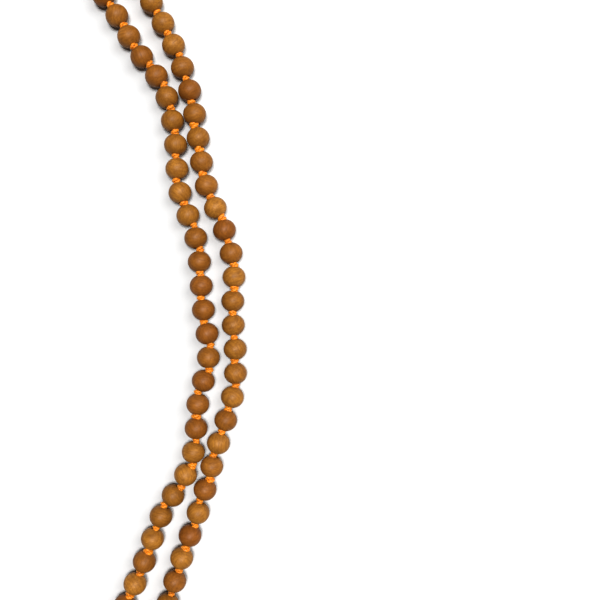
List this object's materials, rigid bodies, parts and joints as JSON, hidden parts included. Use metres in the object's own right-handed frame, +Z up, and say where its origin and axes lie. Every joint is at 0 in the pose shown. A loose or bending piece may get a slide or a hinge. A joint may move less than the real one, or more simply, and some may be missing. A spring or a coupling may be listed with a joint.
{
  "type": "mala prayer beads",
  "caption": "Knotted string of round wooden prayer beads with a larger guru bead and a thread tassel; beads spin on the cord and the doubled strand folds at its knots.",
  "frame": {"origin": "middle of the whole mala's footprint, on the surface that it lies on", "axes": "+Y runs from the tassel end to the upper loop, +X to the right seen from above, +Z up out of the surface"},
  "size_m": [0.1359, 0.5477, 0.0124],
  "materials": {
    "sandalwood": "satin turned sandalwood, golden tan to reddish brown",
    "guru_wood": "satin turned sandalwood, a little darker",
    "orange_thread": "twisted orange polyester thread with a soft sheen"
  },
  "bodies": {
    "middle_strand": {"cord_left_middle": "orange_thread", "cord_right_middle": "orange_thread"},
    "upper_strand": {"cord_left_upper": "orange_thread", "cord_right_upper": "orange_thread"},
    "upper_loop": {"upper_loop_beads": "sandalwood"},
    "lower_strand": {"cord_left_lower": "orange_thread", "cord_right_lower": "orange_thread"},
    "lower_loop": {"lower_loop_beads": "sandalwood"},
    "guru_end": {"guru_cord": "orange_thread"},
    "tassel": {"tassel_threads": "orange_thread", "tassel_binding": "orange_thread"},
    "guru_bead": {"guru_bead": "guru_wood"},
    "bead_left_01": {"bead_left_01": "sandalwood"},
    "bead_left_02": {"bead_left_02": "sandalwood"},
    "bead_left_03": {"bead_left_03": "sandalwood"},
    "bead_left_04": {"bead_left_04": "sandalwood"},
    "bead_left_05": {"bead_left_05": "sandalwood"},
    "bead_left_06": {"bead_left_06": "sandalwood"},
    "bead_left_07": {"bead_left_07": "sandalwood"},
    "bead_left_08": {"bead_left_08": "sandalwood"},
    "bead_left_09": {"bead_left_09": "sandalwood"},
    "bead_left_10": {"bead_left_10": "sandalwood"},
    "bead_left_11": {"bead_left_11": "sandalwood"},
    "bead_left_12": {"bead_left_12": "sandalwood"},
    "bead_left_13": {"bead_left_13": "sandalwood"},
    "bead_left_14": {"bead_left_14": "sandalwood"},
    "bead_left_15": {"bead_left_15": "sandalwood"},
    "bead_left_16": {"bead_left_16": "sandalwood"},
    "bead_left_17": {"bead_left_17": "sandalwood"},
    "bead_left_18": {"bead_left_18": "sandalwood"},
    "bead_left_19": {"bead_left_19": "sandalwood"},
    "bead_left_20": {"bead_left_20": "sandalwood"},
    "bead_left_21": {"bead_left_21": "sandalwood"},
    "bead_left_22": {"bead_left_22": "sandalwood"},
    "bead_left_23": {"bead_left_23": "sandalwood"},
    "bead_left_24": {"bead_left_24": "sandalwood"},
    "bead_right_01": {"bead_right_01": "sandalwood"},
    "bead_right_02": {"bead_right_02": "sandalwood"},
    "bead_right_03": {"bead_right_03": "sandalwood"},
    "bead_right_04": {"bead_right_04": "sandalwood"},
    "bead_right_05": {"bead_right_05": "sandalwood"},
    "bead_right_06": {"bead_right_06": "sandalwood"},
    "bead_right_07": {"bead_right_07": "sandalwood"},
    "bead_right_08": {"bead_right_08": "sandalwood"},
    "bead_right_09": {"bead_right_09": "sandalwood"},
    "bead_right_10": {"bead_right_10": "sandalwood"},
    "bead_right_11": {"bead_right_11": "sandalwood"},
    "bead_right_12": {"bead_right_12": "sandalwood"},
    "bead_right_13": {"bead_right_13": "sandalwood"},
    "bead_right_14": {"bead_right_14": "sandalwood"},
    "bead_right_15": {"bead_right_15": "sandalwood"},
    "bead_right_16": {"bead_right_16": "sandalwood"},
    "bead_right_17": {"bead_right_17": "sandalwood"},
    "bead_right_18": {"bead_right_18": "sandalwood"},
    "bead_right_19": {"bead_right_19": "sandalwood"},
    "bead_right_20": {"bead_right_20": "sandalwood"},
    "bead_right_21": {"bead_right_21": "sandalwood"},
    "bead_right_22": {"bead_right_22": "sandalwood"},
    "bead_right_23": {"bead_right_23": "sandalwood"},
    "bead_right_24": {"bead_right_24": "sandalwood"}
  },
  "joints": [
    {"name": "upper_strand_fold", "type": "hinge", "parent": "middle_strand", "child": "upper_strand", "pos_m": [0.04785, 0.07779, 0.0045], "axis": [0.9657, 0.2596, 0], "range_deg": [0, 35]},
    {"name": "upper_loop_fold", "type": "hinge", "parent": "upper_strand", "child": "upper_loop", "pos_m": [0.02525, 0.15125, 0.0045], "axis": [0.9332, 0.3594, 0], "range_deg": [0, 35]},
    {"name": "lower_strand_fold", "type": "hinge", "parent": "middle_strand", "child": "lower_strand", "pos_m": [0.05639, 0.00166, 0.0045], "axis": [-0.9815, -0.1912, 0], "range_deg": [0, 35]},
    {"name": "lower_loop_fold", "type": "hinge", "parent": "lower_strand", "child": "lower_loop", "pos_m": [0.03278, -0.07214, 0.0045], "axis": [-0.9968, -0.0805, 0], "range_deg": [0, 35]},
    {"name": "guru_fold", "type": "hinge", "parent": "lower_loop", "child": "guru_end", "pos_m": [-0.02747, -0.20252, 0.0055], "axis": [-0.893, 0.45, 0], "range_deg": [0, 40]},
    {"name": "tassel_swing", "type": "hinge", "parent": "guru_end", "child": "tassel", "pos_m": [-0.03296, -0.21342, 0.0055], "axis": [0, 0, 1], "range_deg": [-35, 35]},
    {"name": "guru_bead_spin", "type": "hinge", "parent": "guru_end", "child": "guru_bead", "pos_m": [-0.03021, -0.20797, 0.0055], "axis": [-0.45, -0.893, 0], "continuous": true},
    {"name": "bead_left_01_spin", "type": "hinge", "parent": "lower_strand", "child": "bead_left_01", "pos_m": [0.02687, -0.06822, 0.0045], "axis": [0.3693, 0.9293, 0], "continuous": true},
    {"name": "bead_left_02_spin", "type": "hinge", "parent": "lower_strand", "child": "bead_left_02", "pos_m": [0.03017, -0.05903, 0.0045], "axis": [0.3045, 0.9525, 0], "continuous": true},
    {"name": "bead_left_03_spin", "type": "hinge", "parent": "lower_strand", "child": "bead_left_03", "pos_m": [0.03362, -0.0499, 0.0045], "axis": [0.4023, 0.9155, 0], "continuous": true},
    {"name": "bead_left_04_spin", "type": "hinge", "parent": "lower_strand", "child": "bead_left_04", "pos_m": [0.03849, -0.0415, 0.0045], "axis": [0.5955, 0.8034, 0], "continuous": true},
    {"name": "bead_left_05_spin", "type": "hinge", "parent": "lower_strand", "child": "bead_left_05", "pos_m": [0.04354, -0.03318, 0.0045], "axis": [0.4374, 0.8993, 0], "continuous": true},
    {"name": "bead_left_06_spin", "type": "hinge", "parent": "lower_strand", "child": "bead_left_06", "pos_m": [0.0467, -0.02401, 0.0045], "axis": [0.2092, 0.9779, 0], "continuous": true},
    {"name": "bead_left_07_spin", "type": "hinge", "parent": "lower_strand", "child": "bead_left_07", "pos_m": [0.04784, -0.01435, 0.0045], "axis": [0.0236, 0.9997, 0], "continuous": true},
    {"name": "bead_left_08_spin", "type": "hinge", "parent": "lower_strand", "child": "bead_left_08", "pos_m": [0.04853, -0.00461, 0.0045], "axis": [0.1185, 0.993, 0], "continuous": true},
    {"name": "bead_left_09_spin", "type": "hinge", "parent": "middle_strand", "child": "bead_left_09", "pos_m": [0.05075, 0.00484, 0.0045], "axis": [0.3364, 0.9417, 0], "continuous": true},
    {"name": "bead_left_10_spin", "type": "hinge", "parent": "middle_strand", "child": "bead_left_10", "pos_m": [0.05281, 0.01431, 0.0045], "axis": [0.0839, 0.9965, 0], "continuous": true},
    {"name": "bead_left_11_spin", "type": "hinge", "parent": "middle_strand", "child": "bead_left_11", "pos_m": [0.05226, 0.02397, 0.0045], "axis": [-0.1966, 0.9805, 0], "continuous": true},
    {"name": "bead_left_12_spin", "type": "hinge", "parent": "middle_strand", "child": "bead_left_12", "pos_m": [0.0508, 0.03362, 0.0045], "axis": [-0.1027, 0.9947, 0], "continuous": true},
    {"name": "bead_left_13_spin", "type": "hinge", "parent": "middle_strand", "child": "bead_left_13", "pos_m": [0.0499, 0.04335, 0.0045], "axis": [-0.0811, 0.9967, 0], "continuous": true},
    {"name": "bead_left_14_spin", "type": "hinge", "parent": "middle_strand", "child": "bead_left_14", "pos_m": [0.04913, 0.0531, 0.0045], "axis": [-0.076, 0.9971, 0], "continuous": true},
    {"name": "bead_left_15_spin", "type": "hinge", "parent": "middle_strand", "child": "bead_left_15", "pos_m": [0.04769, 0.06274, 0.0045], "axis": [-0.2189, 0.9757, 0], "continuous": true},
    {"name": "bead_left_16_spin", "type": "hinge", "parent": "middle_strand", "child": "bead_left_16", "pos_m": [0.04451, 0.07191, 0.0045], "axis": [-0.4312, 0.9023, 0], "continuous": true},
    {"name": "bead_left_17_spin", "type": "hinge", "parent": "upper_strand", "child": "bead_left_17", "pos_m": [0.0413, 0.08108, 0.0045], "axis": [-0.2259, 0.9741, 0], "continuous": true},
    {"name": "bead_left_18_spin", "type": "hinge", "parent": "upper_strand", "child": "bead_left_18", "pos_m": [0.04007, 0.09073, 0.0045], "axis": [-0.0249, 0.9997, 0], "continuous": true},
    {"name": "bead_left_19_spin", "type": "hinge", "parent": "upper_strand", "child": "bead_left_19", "pos_m": [0.03952, 0.10048, 0.0045], "axis": [-0.0883, 0.9961, 0], "continuous": true},
    {"name": "bead_left_20_spin", "type": "hinge", "parent": "upper_strand", "child": "bead_left_20", "pos_m": [0.03823, 0.11016, 0.0045], "axis": [-0.1767, 0.9843, 0], "continuous": true},
    {"name": "bead_left_21_spin", "type": "hinge", "parent": "upper_strand", "child": "bead_left_21", "pos_m": [0.03602, 0.11966, 0.0045], "axis": [-0.2746, 0.9616, 0], "continuous": true},
    {"name": "bead_left_22_spin", "type": "hinge", "parent": "upper_strand", "child": "bead_left_22", "pos_m": [0.03176, 0.12828, 0.0045], "axis": [-0.5984, 0.8012, 0], "continuous": true},
    {"name": "bead_left_23_spin", "type": "hinge", "parent": "upper_strand", "child": "bead_left_23", "pos_m": [0.02584, 0.13605, 0.0045], "axis": [-0.6128, 0.7902, 0], "continuous": true},
    {"name": "bead_left_24_spin", "type": "hinge", "parent": "upper_strand", "child": "bead_left_24", "pos_m": [0.0206, 0.14425, 0.0045], "axis": [-0.4597, 0.8881, 0], "continuous": true},
    {"name": "bead_right_01_spin", "type": "hinge", "parent": "upper_strand", "child": "bead_right_01", "pos_m": [0.03443, 0.14958, 0.0045], "axis": [0.4643, -0.8857, 0], "continuous": true},
    {"name": "bead_right_02_spin", "type": "hinge", "parent": "upper_strand", "child": "bead_right_02", "pos_m": [0.03866, 0.14078, 0.0045], "axis": [0.402, -0.9157, 0], "continuous": true},
    {"name": "bead_right_03_spin", "type": "hinge", "parent": "upper_strand", "child": "bead_right_03", "pos_m": [0.04229, 0.13171, 0.0045], "axis": [0.3404, -0.9403, 0], "continuous": true},
    {"name": "bead_right_04_spin", "type": "hinge", "parent": "upper_strand", "child": "bead_right_04", "pos_m": [0.0452, 0.12239, 0.0045], "axis": [0.2556, -0.9668, 0], "continuous": true},
    {"name": "bead_right_05_spin", "type": "hinge", "parent": "upper_strand", "child": "bead_right_05", "pos_m": [0.0472, 0.11284, 0.0045], "axis": [0.153, -0.9882, 0], "continuous": true},
    {"name": "bead_right_06_spin", "type": "hinge", "parent": "upper_strand", "child": "bead_right_06", "pos_m": [0.04864, 0.10318, 0.0045], "axis": [0.1421, -0.9899, 0], "continuous": true},
    {"name": "bead_right_07_spin", "type": "hinge", "parent": "upper_strand", "child": "bead_right_07", "pos_m": [0.04999, 0.0935, 0.0045], "axis": [0.1335, -0.991, 0], "continuous": true},
    {"name": "bead_right_08_spin", "type": "hinge", "parent": "upper_strand", "child": "bead_right_08", "pos_m": [0.05197, 0.08395, 0.0045], "axis": [0.2723, -0.9622, 0], "continuous": true},
    {"name": "bead_right_09_spin", "type": "hinge", "parent": "middle_strand", "child": "bead_right_09", "pos_m": [0.05558, 0.07493, 0.0045], "axis": [0.4673, -0.8841, 0], "continuous": true},
    {"name": "bead_right_10_spin", "type": "hinge", "parent": "middle_strand", "child": "bead_right_10", "pos_m": [0.05928, 0.06593, 0.0045], "axis": [0.289, -0.9573, 0], "continuous": true},
    {"name": "bead_right_11_spin", "type": "hinge", "parent": "middle_strand", "child": "bead_right_11", "pos_m": [0.06199, 0.05654, 0.0045], "axis": [0.2652, -0.9642, 0], "continuous": true},
    {"name": "bead_right_12_spin", "type": "hinge", "parent": "middle_strand", "child": "bead_right_12", "pos_m": [0.06315, 0.04695, 0.0045], "axis": [-0.0262, -0.9997, 0], "continuous": true},
    {"name": "bead_right_13_spin", "type": "hinge", "parent": "middle_strand", "child": "bead_right_13", "pos_m": [0.06267, 0.03719, 0.0045], "axis": [-0.0722, -0.9974, 0], "continuous": true},
    {"name": "bead_right_14_spin", "type": "hinge", "parent": "middle_strand", "child": "bead_right_14", "pos_m": [0.06289, 0.02746, 0.0045], "axis": [0.1158, -0.9933, 0], "continuous": true},
    {"name": "bead_right_15_spin", "type": "hinge", "parent": "middle_strand", "child": "bead_right_15", "pos_m": [0.06366, 0.01773, 0.0045], "axis": [0.0432, -0.9991, 0], "continuous": true},
    {"name": "bead_right_16_spin", "type": "hinge", "parent": "middle_strand", "child": "bead_right_16", "pos_m": [0.06377, 0.00796, 0.0045], "axis": [-0.0215, -0.9998, 0], "continuous": true},
    {"name": "bead_right_17_spin", "type": "hinge", "parent": "lower_strand", "child": "bead_right_17", "pos_m": [0.06252, -0.00167, 0.0045], "axis": [-0.2349, -0.972, 0], "continuous": true},
    {"name": "bead_right_18_spin", "type": "hinge", "parent": "lower_strand", "child": "bead_right_18", "pos_m": [0.05982, -0.01106, 0.0045], "axis": [-0.3179, -0.9481, 0], "continuous": true},
    {"name": "bead_right_19_spin", "type": "hinge", "parent": "lower_strand", "child": "bead_right_19", "pos_m": [0.05686, -0.02037, 0.0045], "axis": [-0.2862, -0.9582, 0], "continuous": true},
    {"name": "bead_right_20_spin", "type": "hinge", "parent": "lower_strand", "child": "bead_right_20", "pos_m": [0.05417, -0.02976, 0.0045], "axis": [-0.2652, -0.9642, 0], "continuous": true},
    {"name": "bead_right_21_spin", "type": "hinge", "parent": "lower_strand", "child": "bead_right_21", "pos_m": [0.05143, -0.03914, 0.0045], "axis": [-0.2957, -0.9553, 0], "continuous": true},
    {"name": "bead_right_22_spin", "type": "hinge", "parent": "lower_strand", "child": "bead_right_22", "pos_m": [0.04861, -0.0485, 0.0045], "axis": [-0.2813, -0.9596, 0], "continuous": true},
    {"name": "bead_right_23_spin", "type": "hinge", "parent": "lower_strand", "child": "bead_right_23", "pos_m": [0.04535, -0.0577, 0.0045], "axis": [-0.3847, -0.9231, 0], "continuous": true},
    {"name": "bead_right_24_spin", "type": "hinge", "parent": "lower_strand", "child": "bead_right_24", "pos_m": [0.04199, -0.06686, 0.0045], "axis": [-0.3043, -0.9526, 0], "continuous": true}
  ]
}
